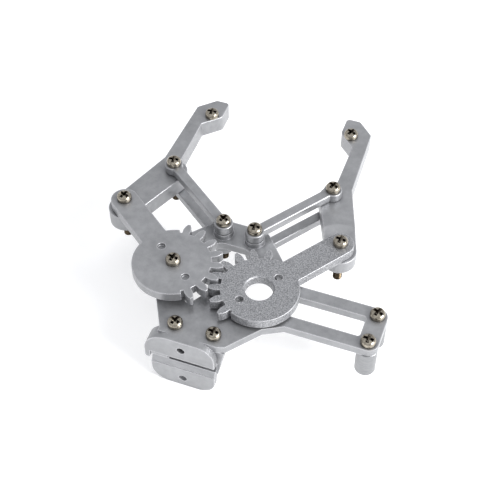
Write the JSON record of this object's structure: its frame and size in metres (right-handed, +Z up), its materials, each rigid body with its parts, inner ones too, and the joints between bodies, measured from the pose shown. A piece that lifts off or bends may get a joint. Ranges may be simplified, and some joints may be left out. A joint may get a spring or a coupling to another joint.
{
  "type": "two-finger servo gripper",
  "caption": "Two-finger gripper for a desktop robot arm: meshed crank gears and parallel links open and close hooked aluminium fingers.",
  "frame": {"origin": "centre of the wrist face, midway between its two screw holes", "axes": "+Y from the wrist towards the fingertips, +Z up on the gear side and along every pivot, +X towards the servo side"},
  "size_m": [0.0939, 0.1034, 0.029],
  "materials": {
    "cast_aluminium": "blasted and silver painted, satin",
    "sand_cast_aluminium": "coarse grained, satin",
    "turned_aluminium": "turned, satin",
    "nickel_screw": "nickel plated, glossy",
    "steel_bush": "turned"
  },
  "bodies": {
    "palm": {"palm_frame": "cast_aluminium", "wrist_flange": "cast_aluminium", "wrist_screws": "nickel_screw", "servo_standoffs": "turned_aluminium", "servo_frame_screws": "nickel_screw", "driven_gear_bush": "steel_bush", "driven_gear_screw": "nickel_screw"},
    "drive_crank": {"drive_gear": "sand_cast_aluminium"},
    "driven_crank": {"driven_gear": "cast_aluminium"},
    "left_links": {"left_upper_link": "cast_aluminium", "left_lower_link": "cast_aluminium", "left_palm_link_screw": "nickel_screw", "left_finger_link_screw": "nickel_screw"},
    "right_links": {"right_upper_link": "cast_aluminium", "right_lower_link": "cast_aluminium", "right_palm_link_screw": "nickel_screw", "right_finger_link_screw": "nickel_screw"},
    "left_jaw": {"left_finger": "cast_aluminium", "left_crank_screw": "nickel_screw", "left_tip_screw": "nickel_screw"},
    "right_jaw": {"right_finger": "cast_aluminium", "right_crank_screw": "nickel_screw", "right_tip_screw": "nickel_screw"}
  },
  "joints": [
    {"name": "drive_gear_turn", "type": "hinge", "parent": "palm", "child": "drive_crank", "pos_m": [0.0156, 0.0234, 0.011], "axis": [0, 0, 1], "range_deg": [-25, 38]},
    {"name": "driven_gear_turn", "type": "hinge", "parent": "palm", "child": "driven_crank", "pos_m": [-0.0114, 0.0234, 0.011], "axis": [0, 0, 1], "range_deg": [-38, 25]},
    {"name": "right_link_swing", "type": "hinge", "parent": "palm", "child": "right_links", "pos_m": [0.00716, 0.0432, 0.011], "axis": [0, 0, 1], "range_deg": [-25, 38]},
    {"name": "left_link_swing", "type": "hinge", "parent": "palm", "child": "left_links", "pos_m": [-0.00296, 0.0432, 0.011], "axis": [0, 0, 1], "range_deg": [-38, 25]},
    {"name": "right_jaw_turn", "type": "hinge", "parent": "drive_crank", "child": "right_jaw", "pos_m": [0.03294, 0.04788, 0.011], "axis": [0, 0, 1], "range_deg": [-38, 25]},
    {"name": "left_jaw_turn", "type": "hinge", "parent": "driven_crank", "child": "left_jaw", "pos_m": [-0.03528, 0.04156, 0.011], "axis": [0, 0, 1], "range_deg": [-25, 38]}
  ],
  "couplings": [
    {"joint": "driven_gear_turn", "follows": "drive_gear_turn", "ratio": -1},
    {"joint": "right_link_swing", "follows": "drive_gear_turn", "ratio": 1},
    {"joint": "left_link_swing", "follows": "drive_gear_turn", "ratio": -1},
    {"joint": "right_jaw_turn", "follows": "drive_gear_turn", "ratio": -1},
    {"joint": "left_jaw_turn", "follows": "drive_gear_turn", "ratio": 1}
  ]
}
